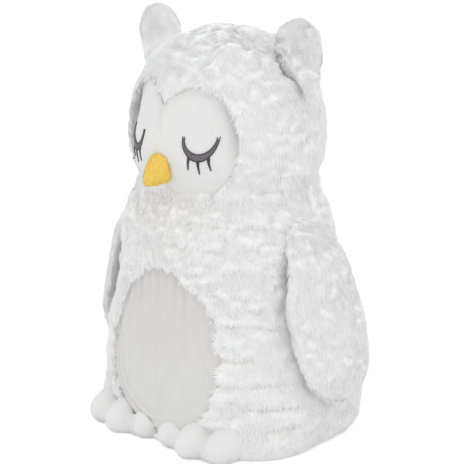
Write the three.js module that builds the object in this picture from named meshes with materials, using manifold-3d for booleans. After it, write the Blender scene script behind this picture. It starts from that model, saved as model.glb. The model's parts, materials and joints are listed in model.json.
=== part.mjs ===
// A plush owl that sits upright: a stuffed body and head in long-pile fur, a smooth face and belly,
// two wings hinged on their shoulder seams, two ears that flop, two three-toed feet, a stuffed beak
// and closed eyes embroidered on the face. Millimetres, +Z up. The owl faces -Y and its left side
// is +X. The origin is the middle of the flat base panel, on the floor.
import * as THREE from "three";
import { mergeVertices } from "three/addons/utils/BufferGeometryUtils.js";
import Module from "manifold-3d";

const wasm = await Module();
wasm.setup();

// Fabrics and fits
const clearance = 0.3; // kept between pieces that touch
const furThickness = 8; // backing and pile of the long fur
const limbFurThickness = 4.5; // the shorter fur of the ears and wings
const plushThickness = 3; // smooth short plush of the face, belly, feet and base
const pileStep = 2.5; // how far the belly's smooth plush lies below the tips of the fur beside it
const beakThickness = 2;
const cutOverrun = 20; // how far a cutting solid runs past what it cuts

// Body, from the floor to the neck crease
const bodyHeight = 188;
const bodyHalfWidth = 103;
const bodyHalfDepth = 93;
const neckHalfWidth = 67;
// Height, half-width and shift to the back, as shares of bodyHeight, bodyHalfWidth and bodyHalfDepth.
const bodyShares = [
  [0, 0.935, 0.05],
  [0.035, 0.965, 0.05],
  [0.1, 0.99, 0.045],
  [0.24, 1, 0.04],
  [0.34, 0.985, 0.05],
  [0.46, 0.945, 0.05],
  [0.59, 0.88, 0.03],
  [0.75, 0.83, -0.01],
  [0.87, 0.77, -0.035],
];
const neckBackShare = -0.025; // shift of the neck, a share of bodyHalfDepth

// The body's long pile is crushed into rolls that run round it, with a parting between them
const rolls = {
  pitch: 18,
  depth: 3,
  sway: 3.5, // how far a parting wanders up and down
  shoulderShare: 0.3, // of a roll's height, from its parting to its full width
};

// Head, from the neck crease to the crown
const headHeight = 117;
const headHalfWidth = 77;
const headHalfDepth = 73;
// As bodyShares, of headHeight, headHalfWidth and headHalfDepth.
const headShares = [
  [0.09, 0.94, -0.03],
  [0.23, 1, -0.04],
  [0.39, 0.985, -0.05],
  [0.54, 0.94, -0.06],
  [0.69, 0.855, -0.06],
  [0.83, 0.69, -0.06],
  [0.925, 0.47, -0.06],
  [0.98, 0.24, -0.06],
  [1, 0, -0.06],
];

// Belly patch, an oval on the body's front
const bellyCentreHeight = 62;
const bellyHalfWidth = 51;
const bellyRise = 69; // from its centre up to its top
const bellyDrop = 57; // from its centre down to its bottom

// Face disc: two round lobes over a wide chin, with a peak of fur between the lobes
const faceCentreRise = 42; // above the neck crease
const faceHalfWidth = 53;
const lobeRise = 36;
const lobeOverlap = 1.15; // how far each lobe crosses the middle, which sets the peak's depth
const chinDrop = 49;

// The face is domed more than the head, so that its rim lies deep in the fur
const domeHalfWidth = 65;
const domeHalfDepth = 75;
// As bodyShares, of headHeight, domeHalfWidth and domeHalfDepth.
const domeShares = [
  [0, 0.82, -0.035],
  [0.09, 0.93, -0.035],
  [0.2, 1, -0.035],
  [0.33, 0.985, -0.04],
  [0.45, 0.93, -0.045],
  [0.58, 0.885, -0.05],
  [0.69, 0.82, -0.05],
  [0.83, 0.66, -0.05],
  [1, 0.3, -0.05],
];

// Embroidered closed eyes: a crescent with three lashes
const eyeCentre = 31; // from the middle of the face
const eyeRise = 46; // of the crescent's tips above the neck crease
const eyeHalfWidth = 11.2;
const eyeDrop = 17;
const eyeTipWidth = 1.4;
const eyeThickness = 5.5; // the crescent's own width at its lowest point
const lashWidth = 1.9;
const lashLength = 9;
const threadHeight = 1.2; // how far the stitching stands up
const lashAngle = 0.62; // radians from straight down to the outer lashes' roots
const lashTiltShare = 0.45; // tilt of an outer lash, a share of lashAngle

// Beak: a short stuffed cone that droops a little
const beakRise = 21; // of its root above the neck crease
const beakLength = 17.5;
const beakRoot = 9; // how deep its form runs behind the face
const beakHalfWidth = 10;
const beakHalfHeight = 12;
const beakShares = [
  [0, 1, 0],
  [0.3, 0.99, 0],
  [0.55, 0.9, -0.06],
  [0.76, 0.7, -0.2],
  [0.91, 0.43, -0.36],
  [1, 0, -0.46],
];

// Ears: flat stuffed domes sewn into the crown seam
const earHeight = 38; // from the hinge to the tip
const earHalfWidth = 22;
const earHalfThickness = 10;
const earSeat = 8; // how deep the form runs below the hinge, before the head cuts it
const earFootHeight = 89; // of the hinge's middle above the neck crease
const earTilt = 0.46; // radians from upright, outwards
const earRootRadius = 4.6;
const earRootHalfLength = 12;
const earRootSink = 1; // of the hinge below the fur's surface
const earFlop = 0.42; // radians, either way
const earShares = [
  [0, 0.8, 0],
  [0.2, 0.88, 0],
  [0.38, 0.97, 0],
  [0.54, 1, 0],
  [0.72, 0.9, 0],
  [0.87, 0.67, 0],
  [0.96, 0.38, 0],
  [1, 0, 0],
];

// Wings: long flat pads that lie on the body's sides and hang from the shoulder seams
const wingLength = 130;
const wingHalfWidth = 39;
const wingHalfThickness = 8.5;
const shoulderDrop = 23; // of the hinge below the neck crease
const wingRootRadius = 5;
const wingRootOut = 1; // of the hinge's axis outside the fur's surface
const wingRootHalfLength = 17;
const wingLift = 1.3; // radians
// From the tip up, with the shift to the back as a share of wingHalfWidth.
const wingShares = [
  [0, 0, 0.2],
  [0.015, 0.28, 0.19],
  [0.06, 0.58, 0.16],
  [0.14, 0.83, 0.11],
  [0.28, 0.98, 0.05],
  [0.44, 1, 0],
  [0.64, 0.93, -0.04],
  [0.84, 0.76, -0.06],
  [1, 0.58, -0.06],
];

// Feet: three stuffed toes in one bag, with a flat sole
const toeHeight = 26;
const toeHalfWidth = 13.5;
const toeHalfLength = 24;
const toePitch = 23;
const toeReach = 12; // how far the middle toe ends in front of the body's widest front
const outerToesBack = 5; // how far the other two toes end behind the middle one
const footCentre = 36; // of the middle toe, from the owl's middle
const instepHeight = 21; // the low part that joins the toes behind
const instepHalfLength = 20;
const instepInset = 3; // how far its sides stay inside the outer toes'
const instepBack = 6; // how far it ends behind the middle toe
const toeShares = [
  [0, 0.8, 0],
  [0.13, 0.93, 0],
  [0.32, 1, 0],
  [0.52, 0.97, 0],
  [0.72, 0.8, 0],
  [0.88, 0.54, 0],
  [0.97, 0.28, 0],
  [1, 0, 0],
];
const instepShares = [
  [0, 0.93, 0],
  [0.25, 1, 0],
  [0.6, 0.94, 0],
  [0.86, 0.6, 0],
  [1, 0, 0],
];

// Bead pouch that weighs the base down
const pouchHalfWidth = 58;
const pouchHalfDepth = 50;
const pouchHeight = 30;
const pouchShares = [
  [0, 0.86, 0],
  [0.2, 0.98, 0],
  [0.45, 1, 0],
  [0.72, 0.86, 0],
  [0.92, 0.5, 0],
  [1, 0, 0],
];

// Colours and surfaces
const material = (color, roughness) =>
  new THREE.MeshStandardMaterial({ color, roughness, metalness: 0 });
const whiteFur = material(0xf1efec, 1);
const whitePlush = material(0xe6e4e1, 0.95);
const yellowPlush = material(0xf0cb5c, 0.95);
const blackThread = material(0x2b2a2c, 0.6);
const fibreFill = material(0xf7f7f5, 1);
const pouchCloth = material(0xcfc9bd, 0.95);

// Solids

// A closed skin over a stack of rings, bottom to top. A ring of one point is a pole. The faces'
// diagonals mirror each other left and right, so that mirrored pieces meet mirrored facets.
function loftGeometry(rings) {
  const points = [];
  const faces = [];
  const starts = rings.map((ring) => {
    points.push(...ring);
    return points.length - ring.length;
  });
  const count = Math.max(...rings.map((ring) => ring.length));
  const cap = (start, apex, upwards) => {
    for (let i = 0; i < count; i++) {
      const [a, b] = [start + i, start + ((i + 1) % count)];
      faces.push(apex, ...(upwards ? [a, b] : [b, a]));
    }
  };
  for (let row = 0; row + 1 < rings.length; row++) {
    const [lower, upper] = [starts[row], starts[row + 1]];
    if (rings[row].length === 1) cap(upper, lower, false);
    else if (rings[row + 1].length === 1) cap(lower, upper, true);
    else
      for (let i = 0; i < count; i++) {
        const j = (i + 1) % count;
        const [a, b, c, d] = [lower + i, lower + j, upper + j, upper + i];
        const leftSide = i < count / 4 || i >= (3 * count) / 4;
        faces.push(...(leftSide ? [a, b, c, a, c, d] : [a, b, d, b, c, d]));
      }
  }
  const closeEnd = (row, upwards) => {
    if (rings[row].length === 1) return;
    const centre = new THREE.Vector3();
    rings[row].forEach((point) => centre.addScaledVector(point, 1 / count));
    points.push(centre);
    cap(starts[row], points.length - 1, upwards);
  };
  closeEnd(0, false);
  closeEnd(rings.length - 1, true);
  return new THREE.BufferGeometry().setFromPoints(points).setIndex(faces);
}

// A geometry as a solid that can be joined and cut.
function toSolid(geometry) {
  const bare = geometry.clone();
  bare.deleteAttribute("normal");
  bare.deleteAttribute("uv");
  const merged = mergeVertices(bare);
  return new wasm.Manifold(
    new wasm.Mesh({
      numProp: 3,
      vertProperties: merged.attributes.position.array,
      triVerts: new Uint32Array(merged.index.array),
    }),
  );
}

function toMesh(name, solid, surface) {
  const { vertProperties, triVerts } = solid.getMesh();
  const geometry = new THREE.BufferGeometry();
  geometry.setAttribute("position", new THREE.BufferAttribute(vertProperties, 3));
  geometry.setIndex(new THREE.BufferAttribute(triVerts, 1));
  geometry.computeVertexNormals();
  const mesh = new THREE.Mesh(geometry, surface);
  mesh.name = name;
  return mesh;
}

const joined = (solids) => solids.reduce((whole, piece) => whole.add(piece));
const cutBy = (solid, cutters) =>
  cutters.reduce((left, cutter) => left.subtract(cutter), solid);

// A stuffed form: rounded ovals stacked on a smooth curve through a few stations. Growing it by a
// margin moves its widest sides and its top by that much and the rest in proportion, so that a
// fabric's two faces and its filling all come from one shape.
class StuffedForm {
  // Squareness of an oval: 2 is an ellipse, more is boxier.
  static round = 2;
  static boxy = 2.2;

  // The shares are rows of height, half-width and shift to the back, bottom to top.
  constructor(shares, sizes) {
    const points = shares.map(([up, out, back]) => new THREE.Vector3(out, back, up));
    this.curve = new THREE.CatmullRomCurve3(points, false, "centripetal");
    this.bottomPole = shares[0][1] === 0;
    this.topPole = shares[shares.length - 1][1] === 0;
    Object.assign(this, { floor: 0, squareness: StuffedForm.boxy }, sizes);
  }

  // One point of an oval, by its angle from +X.
  spot(angle, halfWidth, halfDepth, back, height) {
    const power = 2 / this.squareness;
    const bulge = (value) => Math.sign(value) * Math.abs(value) ** power;
    return new THREE.Vector3(
      halfWidth * bulge(Math.cos(angle)),
      back + halfDepth * bulge(Math.sin(angle)),
      height,
    );
  }

  angles() {
    return Array.from({ length: this.segments }, (_, i) => (2 * Math.PI * i) / this.segments);
  }

  ring(...section) {
    return this.angles().map((angle) => this.spot(angle, ...section));
  }

  // The form as a geometry, grown by a margin. An overrun lengthens its open ends.
  geometry(margin = 0, overrun = 0) {
    const rings = [];
    for (let row = 0; row <= this.rows; row++) {
      const { x: out, y: shift, z: up } = this.curve.getPointAt(row / this.rows);
      const height = this.floor + up * (this.height + margin);
      const back = shift * this.halfDepth;
      const end = row === 0 ? -1 : row === this.rows ? 1 : 0;
      if ((end < 0 && this.bottomPole) || (end > 0 && this.topPole)) {
        rings.push([new THREE.Vector3(0, back, height)]);
        continue;
      }
      const halfSizes = [out * (this.halfWidth + margin), out * (this.halfDepth + margin)];
      const stacked = end && overrun ? [height, height + end * overrun] : [height];
      if (end < 0) stacked.reverse();
      rings.push(...stacked.map((level) => this.ring(...halfSizes, back, level)));
    }
    return loftGeometry(rings);
  }

  solid(margin, overrun) {
    return toSolid(this.geometry(margin, overrun));
  }

  // The form laid in rolls: drawn in by a depth at each parting and full between them. The partings
  // wander up and down round the form. Its two ends stay flat and full.
  rolledSolid({ pitch, depth, sway, shoulderShare }, margin = 0) {
    const count = Math.round(this.height / pitch);
    const level = (roll, inset) => {
      const up = roll / count;
      const free = sway * Math.sin(Math.PI * up);
      return this.angles().map((angle) => {
        const wave = Math.sin(2 * angle + 2 * roll) + Math.sin(3 * angle - 3 * roll) / 2;
        const height = this.floor + up * this.height + free * wave;
        const { halfWidth, halfDepth, back } = this.sectionAt(height);
        const growth = margin - inset;
        return this.spot(angle, halfWidth + growth, halfDepth + growth, back, height);
      });
    };
    const rings = [];
    for (let roll = 0; roll < count; roll++) {
      rings.push(level(roll, roll === 0 ? 0 : depth));
      rings.push(level(roll + shoulderShare, 0), level(roll + 1 - shoulderShare, 0));
    }
    rings.push(level(count, 0));
    return toSolid(loftGeometry(rings));
  }

  // The oval at one height.
  sectionAt(height) {
    const up = (height - this.floor) / this.height;
    let [low, high] = [0, 1];
    for (let step = 0; step < 30; step++) {
      const middle = (low + high) / 2;
      if (this.curve.getPoint(middle).z < up) low = middle;
      else high = middle;
    }
    const { x: out, y: shift } = this.curve.getPoint(low);
    return {
      halfWidth: out * this.halfWidth,
      halfDepth: out * this.halfDepth,
      back: shift * this.halfDepth,
    };
  }

  // How far the side lies from the middle at a depth and a height.
  sideAt(depth, height) {
    const { halfWidth, halfDepth, back } = this.sectionAt(height);
    const power = this.squareness;
    const share = Math.min(1, Math.abs(depth - back) / halfDepth);
    return halfWidth * (1 - share ** power) ** (1 / power);
  }
}

const neckBack = neckBackShare * bodyHalfDepth;
const bodyForm = new StuffedForm(
  [...bodyShares, [1, neckHalfWidth / bodyHalfWidth, neckBackShare]],
  {
    height: bodyHeight,
    halfWidth: bodyHalfWidth,
    halfDepth: bodyHalfDepth,
    rows: 12,
    segments: 32,
  },
);
const headForm = new StuffedForm(
  [[0, neckHalfWidth / headHalfWidth, neckBack / headHalfDepth], ...headShares],
  {
    height: headHeight,
    halfWidth: headHalfWidth,
    halfDepth: headHalfDepth,
    floor: bodyHeight,
    squareness: StuffedForm.round,
    rows: 11,
    segments: 32,
  },
);
const domeForm = new StuffedForm(domeShares, {
  height: headHeight,
  halfWidth: domeHalfWidth,
  halfDepth: domeHalfDepth,
  floor: bodyHeight,
  squareness: StuffedForm.round,
  rows: 14,
  segments: 40,
});

// A block that fills the space from one height or depth on, wide enough to cut anything.
const reach = 2 * (bodyHeight + headHeight);
function blockFrom(axis, start, direction) {
  const centre = { x: 0, y: 0, z: 0, [axis]: start + (direction * reach) / 2 };
  const block = new THREE.BoxGeometry(reach, reach, reach);
  return toSolid(block.translate(centre.x, centre.y, centre.z));
}
const above = (height) => blockFrom("z", height, 1);
const below = (height) => blockFrom("z", height, -1);
const inFrontOf = (depth) => blockFrom("y", depth, -1);
const behind = (depth) => blockFrom("y", depth, 1);

// Two pieces joined by a seam keep half a clearance each to it.
const seamHalf = clearance / 2;

// A flat outline drawn as seen from the front, run through the owl's front half.
function frontPrism(outline) {
  const depth = bodyHalfDepth + cutOverrun;
  const settings = { depth, bevelEnabled: false, curveSegments: 10 };
  return toSolid(new THREE.ExtrudeGeometry(outline, settings).rotateX(Math.PI / 2));
}

// The belly patch's oval, grown by a margin.
function bellyOutline(margin) {
  const centre = [0, bellyCentreHeight];
  const halfWidth = bellyHalfWidth + margin;
  return new THREE.Shape()
    .absellipse(...centre, halfWidth, bellyRise + margin, 0, Math.PI)
    .absellipse(...centre, halfWidth, bellyDrop + margin, Math.PI, 2 * Math.PI);
}

// The face disc's outline, grown by a margin.
function faceOutline(margin) {
  const centreHeight = bodyHeight + faceCentreRise;
  const lobeHalfWidth = (faceHalfWidth + lobeOverlap) / 2;
  const lobeCentre = faceHalfWidth - lobeHalfWidth;
  const lobe = [lobeHalfWidth + margin, lobeRise + margin];
  const chin = [faceHalfWidth + margin, chinDrop + margin];
  const peak = Math.acos(lobeCentre / lobe[0]);
  return new THREE.Shape()
    .moveTo(0, centreHeight + lobe[1] * Math.sin(peak))
    .absellipse(lobeCentre, centreHeight, ...lobe, Math.PI - peak, 0, true)
    .absellipse(0, centreHeight, ...chin, 0, -Math.PI, true)
    .absellipse(-lobeCentre, centreHeight, ...lobe, Math.PI, peak, true);
}

// A seam roll: the rolled edge that a wing or an ear hinges on, along X before it is placed.
const seamRoll = (radius, halfLength, margin) =>
  new THREE.CylinderGeometry(
    radius + margin,
    radius + margin,
    2 * (halfLength + margin),
    12,
  ).rotateZ(Math.PI / 2);

// Where the wings' hinges lie in the shoulder seams. The left one has positive X.
const shoulderHeight = bodyHeight - shoulderDrop;
const shoulder = {
  depth: bodyForm.sectionAt(shoulderHeight).back,
  height: shoulderHeight,
};
shoulder.out = bodyForm.sideAt(shoulder.depth, shoulder.height) + wingRootOut;
const wingRoot = (sign, margin) =>
  toSolid(
    seamRoll(wingRootRadius, wingRootHalfLength, margin)
      .rotateZ(Math.PI / 2)
      .translate(sign * shoulder.out, shoulder.depth, shoulder.height),
  );

// Where the ears' hinges lie in the crown seam, and the frame that stands an ear there.
const crown = {
  depth: headForm.sectionAt(bodyHeight + earFootHeight).back,
  height: bodyHeight + earFootHeight,
};
crown.out = headForm.sectionAt(crown.height).halfWidth - earRootSink;
const earFrame = (sign) =>
  new THREE.Matrix4()
    .makeTranslation(sign * crown.out, crown.depth, crown.height)
    .multiply(new THREE.Matrix4().makeRotationY(sign * earTilt));
const earRoot = (margin) => seamRoll(earRootRadius, earRootHalfLength, margin);

function buildBody() {
  const shoulderGrooves = [1, -1].map((sign) => wingRoot(sign, clearance));
  const neckCut = above(bodyHeight - seamHalf);
  const hollow = bodyForm.solid(-furThickness, cutOverrun);
  const furTube = cutBy(bodyForm.rolledSolid(rolls), [hollow, neckCut, ...shoulderGrooves]);
  const furFront = furTube.intersect(inFrontOf(-seamHalf));
  const patch = bodyForm.solid(-pileStep).subtract(hollow);
  const filling = bodyForm.solid(-furThickness - clearance, cutOverrun);

  const pouchForm = new StuffedForm(pouchShares, {
    height: pouchHeight,
    halfWidth: pouchHalfWidth,
    halfDepth: pouchHalfDepth,
    floor: plushThickness + clearance,
    rows: 6,
    segments: 20,
  });
  const pouchHollow = pouchForm.solid(clearance, cutOverrun);
  return [
    toMesh(
      "body_fur_front",
      furFront.subtract(frontPrism(bellyOutline(clearance))),
      whiteFur,
    ),
    toMesh("body_fur_back", furTube.intersect(behind(seamHalf)), whiteFur),
    toMesh("belly_patch", patch.intersect(frontPrism(bellyOutline(0))), whitePlush),
    toMesh("base_panel", cutBy(filling, [below(0), above(plushThickness)]), whitePlush),
    toMesh("bead_pouch", pouchForm.solid(), pouchCloth),
    toMesh(
      "body_stuffing",
      cutBy(filling, [below(pouchForm.floor), neckCut, pouchHollow]),
      fibreFill,
    ),
  ];
}

function buildHead() {
  const crownGrooves = [1, -1].map((sign) =>
    toSolid(earRoot(clearance).applyMatrix4(earFrame(sign))),
  );
  const neckCut = below(bodyHeight + seamHalf);
  const hollow = headForm.solid(-furThickness, cutOverrun);
  const furCap = cutBy(headForm.solid(), [hollow, neckCut, ...crownGrooves]);
  const furFront = furCap.intersect(inFrontOf(crown.depth - seamHalf));
  const discHollow = domeForm.solid(-plushThickness, cutOverrun);
  const disc = cutBy(domeForm.solid(), [discHollow, neckCut]);

  // The filling follows the fur all round and the dome behind the face.
  const domeFilling = domeForm.solid(-plushThickness - clearance, cutOverrun);
  const aroundDisc = frontPrism(faceOutline(clearance)).subtract(domeFilling);
  const filling = headForm
    .solid(-furThickness - clearance, cutOverrun)
    .subtract(aroundDisc)
    .add(domeFilling.intersect(frontPrism(faceOutline(0))));
  return [
    toMesh(
      "head_fur_front",
      furFront.subtract(frontPrism(faceOutline(clearance))),
      whiteFur,
    ),
    toMesh("head_fur_back", furCap.intersect(behind(crown.depth + seamHalf)), whiteFur),
    toMesh("face_disc", disc.intersect(frontPrism(faceOutline(0))), whitePlush),
    toMesh("head_stuffing", filling.subtract(neckCut), fibreFill),
  ];
}

// A closed eye of the left side: a crescent and three lashes, stitched on to the face.
function buildEye(side) {
  const tipHeight = bodyHeight + eyeRise;
  const lower = [eyeHalfWidth, eyeDrop];
  const upper = [eyeHalfWidth - eyeTipWidth, eyeDrop - eyeThickness];
  const crescent = new THREE.Shape()
    .absellipse(eyeCentre, tipHeight, ...lower, Math.PI, 2 * Math.PI)
    .absellipse(eyeCentre, tipHeight, ...upper, 2 * Math.PI, Math.PI, true);
  const half = lashWidth / 2;
  const lashCorners = [
    [-half, eyeThickness / 2],
    [half / 2, -lashLength],
    [half, eyeThickness / 2],
  ];
  const lashes = [-lashAngle, 0, lashAngle].map((angle) => {
    const root = new THREE.Vector2(
      eyeCentre + eyeHalfWidth * Math.sin(angle),
      tipHeight - eyeDrop * Math.cos(angle),
    );
    const turned = ([across, up]) =>
      new THREE.Vector2(across, up)
        .rotateAround(new THREE.Vector2(), angle * lashTiltShare)
        .add(root);
    return new THREE.Shape(lashCorners.map(turned));
  });
  const stitched = joined([crescent, ...lashes].map(frontPrism));
  const under = domeForm.solid(clearance, cutOverrun);
  const outer = domeForm.solid(clearance + threadHeight);
  return [toMesh(`eye_${side}`, stitched.intersect(outer).subtract(under), blackThread)];
}

// The beak's skin is open behind, where it is sewn round the hole that its filling goes in by.
function buildBeak() {
  const rootHeight = bodyHeight + beakRise;
  const { halfDepth, back } = domeForm.sectionAt(rootHeight);
  const rootDepth = back - halfDepth + beakRoot;
  const form = new StuffedForm(beakShares, {
    height: beakLength + beakRoot,
    halfWidth: beakHalfWidth,
    halfDepth: beakHalfHeight,
    rows: 6,
    segments: 16,
  });
  const formAt = (margin, overrun) =>
    toSolid(
      form
        .geometry(margin, overrun)
        .rotateX(Math.PI / 2)
        .translate(0, rootDepth, rootHeight),
    );
  const face = domeForm.solid(clearance, cutOverrun);
  const skin = formAt().subtract(formAt(-beakThickness, cutOverrun));
  const filling = formAt(-beakThickness - clearance, cutOverrun);
  return [
    toMesh("beak", skin.subtract(face), yellowPlush),
    toMesh("beak_stuffing", filling.subtract(face), fibreFill),
  ];
}

// The pieces of an ear of the left side. The head's form, turned as far as the ear flops each
// way, cuts the ear's foot, so that it seats on the fur and stays clear of it when it moves.
function buildEar(side) {
  const form = new StuffedForm(earShares, {
    height: earHeight + earSeat,
    halfWidth: earHalfWidth,
    halfDepth: earHalfThickness,
    floor: -earSeat,
    rows: 8,
    segments: 16,
  });
  const headAround = headForm
    .geometry(clearance, cutOverrun)
    .applyMatrix4(earFrame(1).invert());
  const turnedHeads = [-1, -1 / 2, 0, 1 / 2, 1].map((share) =>
    toSolid(headAround.clone().rotateX(share * earFlop)),
  );
  const fillingFloor = earRootRadius + limbFurThickness;
  const core = form.solid(-limbFurThickness).subtract(below(fillingFloor));
  const filling = form
    .solid(-limbFurThickness - clearance)
    .subtract(below(fillingFloor + clearance));
  const shell = cutBy(form.solid(), turnedHeads)
    .add(toSolid(earRoot(0)))
    .subtract(core);
  const meshes = [
    toMesh(`ear_${side}_front`, shell.intersect(inFrontOf(-seamHalf)), whiteFur),
    toMesh(`ear_${side}_back`, shell.intersect(behind(seamHalf)), whiteFur),
    toMesh(`ear_${side}_stuffing`, filling, fibreFill),
  ];
  meshes.forEach((mesh) => mesh.applyMatrix4(earFrame(1)));
  return meshes;
}

// The pieces of a wing of the left side. The pad is made flat, with its thickness along X, and
// then bent on to the body's side, so that its inner face follows the fur from tip to shoulder.
function buildWing(side) {
  const tipHeight = shoulderHeight - wingLength;
  const form = new StuffedForm(wingShares, {
    height: wingLength,
    halfWidth: wingHalfThickness,
    halfDepth: wingHalfWidth,
    floor: tipHeight,
    rows: 10,
    segments: 16,
  });
  const bent = (geometry) => {
    const positions = geometry.attributes.position;
    for (let i = 0; i < positions.count; i++) {
      const height = positions.getZ(i);
      const depth = shoulder.depth + positions.getY(i);
      const nearest = THREE.MathUtils.clamp(height, tipHeight, shoulderHeight);
      const onFur = bodyForm.sideAt(depth, nearest) + clearance;
      const middle = onFur + form.sectionAt(nearest).halfWidth;
      positions.setXYZ(i, middle + positions.getX(i), depth, height);
    }
    return toSolid(geometry);
  };
  // All that lies on the body's side of the pad's middle, short of it by a margin.
  const innerSide = (margin) => {
    const thick = wingHalfThickness + cutOverrun;
    const wide = wingHalfWidth + cutOverrun;
    return bent(
      new THREE.BoxGeometry(thick, 2 * wide, wingLength + 2 * cutOverrun, 1, 8, 10)
        .translate(-thick / 2 - margin, 0, tipHeight + wingLength / 2),
    );
  };
  const rootFloor = shoulderHeight - wingRootRadius - limbFurThickness;
  const core = bent(form.geometry(-limbFurThickness)).subtract(above(rootFloor));
  const filling = bent(form.geometry(-limbFurThickness - clearance));
  const shell = bent(form.geometry()).add(wingRoot(1, 0)).subtract(core);
  return [
    toMesh(`wing_${side}_outer`, shell.subtract(innerSide(-seamHalf)), whiteFur),
    toMesh(`wing_${side}_inner`, shell.intersect(innerSide(seamHalf)), whiteFur),
    toMesh(
      `wing_${side}_stuffing`,
      filling.subtract(above(rootFloor - clearance)),
      fibreFill,
    ),
  ];
}

// The pieces of a foot of the left side: three toes that share one bag, seated on the body.
function buildFoot(side) {
  const { halfDepth, back } = bodyForm.sectionAt(toeHeight);
  const footFront = back - halfDepth - toeReach;
  const toeAt = (place, margin, overrun) => {
    const front = footFront + (place === 0 ? 0 : outerToesBack);
    return toSolid(
      new StuffedForm(toeShares, {
        height: toeHeight,
        halfWidth: toeHalfWidth,
        halfDepth: toeHalfLength,
        rows: 6,
        segments: 14,
      })
        .geometry(margin, overrun)
        .translate(footCentre + place * toePitch, front + toeHalfLength, 0),
    );
  };
  const instepAt = (margin, overrun) =>
    toSolid(
      new StuffedForm(instepShares, {
        height: instepHeight,
        halfWidth: toePitch + toeHalfWidth - instepInset,
        halfDepth: instepHalfLength,
        rows: 4,
        segments: 16,
      })
        .geometry(margin, overrun)
        .translate(footCentre, footFront + instepBack + instepHalfLength, 0),
    );
  const bagAt = (margin, overrun) =>
    joined([
      instepAt(margin, overrun),
      ...[-1, 0, 1].map((place) => toeAt(place, margin, overrun)),
    ]);
  const hollow = bagAt(-plushThickness, cutOverrun);
  const filling = bagAt(-plushThickness - clearance, cutOverrun);
  const belowSkin = below(plushThickness + clearance);
  const body = bodyForm
    .solid(clearance, cutOverrun)
    .add(bodyForm.rolledSolid(rolls, clearance));
  return [
    toMesh(`foot_${side}_skin`, cutBy(bagAt(), [hollow, belowSkin, body]), whitePlush),
    toMesh(`foot_${side}_sole`, cutBy(bagAt(), [above(plushThickness), body]), whitePlush),
    toMesh(`foot_${side}_stuffing`, cutBy(filling, [belowSkin, body]), fibreFill),
  ];
}

const owl = new THREE.Group();
owl.add(...buildBody(), ...buildHead(), ...buildBeak());
for (const side of ["left", "right"]) {
  const half = new THREE.Group();
  half.add(...buildEye(side), ...buildEar(side), ...buildWing(side), ...buildFoot(side));
  half.scale.x = side === "left" ? 1 : -1;
  owl.add(half);
}
export default owl;
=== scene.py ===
# %% [markdown]
# # A plush owl, dressed in fur
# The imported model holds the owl's panels, fillings and hinges as plain solids. This notebook keeps
# each of them where it is and dresses it as the real toy looks: long white fur that is crushed
# into soft rolls, smooth short plush on the face, belly and feet, a yellow beak, and two closed
# eyes embroidered in dark thread.

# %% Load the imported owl
import json
import math

import bpy
import numpy as np
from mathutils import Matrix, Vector, kdtree, noise
from mathutils.bvhtree import BVHTree

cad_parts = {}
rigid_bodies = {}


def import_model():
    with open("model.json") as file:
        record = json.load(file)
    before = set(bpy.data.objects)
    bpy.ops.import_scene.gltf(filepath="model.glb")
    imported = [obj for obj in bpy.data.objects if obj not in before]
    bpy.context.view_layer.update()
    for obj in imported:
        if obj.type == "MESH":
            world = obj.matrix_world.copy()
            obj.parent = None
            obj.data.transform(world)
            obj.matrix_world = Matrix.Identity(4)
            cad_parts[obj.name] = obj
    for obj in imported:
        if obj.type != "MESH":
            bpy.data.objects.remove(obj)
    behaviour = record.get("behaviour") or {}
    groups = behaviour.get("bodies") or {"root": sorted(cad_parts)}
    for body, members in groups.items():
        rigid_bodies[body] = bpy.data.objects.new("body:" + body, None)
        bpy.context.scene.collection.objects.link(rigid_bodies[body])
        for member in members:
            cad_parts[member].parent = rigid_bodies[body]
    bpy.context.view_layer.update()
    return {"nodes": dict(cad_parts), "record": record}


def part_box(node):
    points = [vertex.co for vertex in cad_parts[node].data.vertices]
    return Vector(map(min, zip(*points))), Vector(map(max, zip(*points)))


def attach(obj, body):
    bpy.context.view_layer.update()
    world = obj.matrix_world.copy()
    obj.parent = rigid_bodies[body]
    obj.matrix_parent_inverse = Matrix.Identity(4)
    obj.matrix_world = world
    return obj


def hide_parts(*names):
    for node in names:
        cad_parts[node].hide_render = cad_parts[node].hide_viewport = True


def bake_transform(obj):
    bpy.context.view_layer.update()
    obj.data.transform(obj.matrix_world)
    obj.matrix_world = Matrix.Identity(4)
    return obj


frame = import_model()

MM = 0.001
SIDES = (("left", 1), ("right", -1))

# %% [markdown]
# ## Camera, floor and light
# The camera stands to the owl's left and a little above, far off with a long lens, so the toy
# shows hardly any perspective. It comes first, because every later choice is judged through it.

# %% Camera
CAMERA_AT, CAMERA_AIM = (0.6746, -0.7781, 0.4400), (0.0009, 0.0008, 0.1445)  # metres
SENSOR_WIDE, LENS_LONG = 36, 108.8  # millimetres

bpy.ops.object.select_all(action="DESELECT")
bpy.ops.object.camera_add(location=CAMERA_AT)
camera = bpy.context.object
camera.name = "camera"
aim = Vector(CAMERA_AIM) - camera.location
camera.rotation_euler = aim.to_track_quat("-Z", "Y").to_euler()
camera.data.sensor_width = SENSOR_WIDE
camera.data.lens = LENS_LONG
bpy.context.scene.camera = camera
bpy.context.scene.view_settings.view_transform = "Standard"
print("camera distance, m:", round(aim.length, 3))

# %% [markdown]
# Shader maths reads best as plain expressions. `Value` wraps a socket, so `1 - mask * 2` adds the
# Math nodes by itself. `Paint` is one material in the making, and only its `node` adds others.


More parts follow.
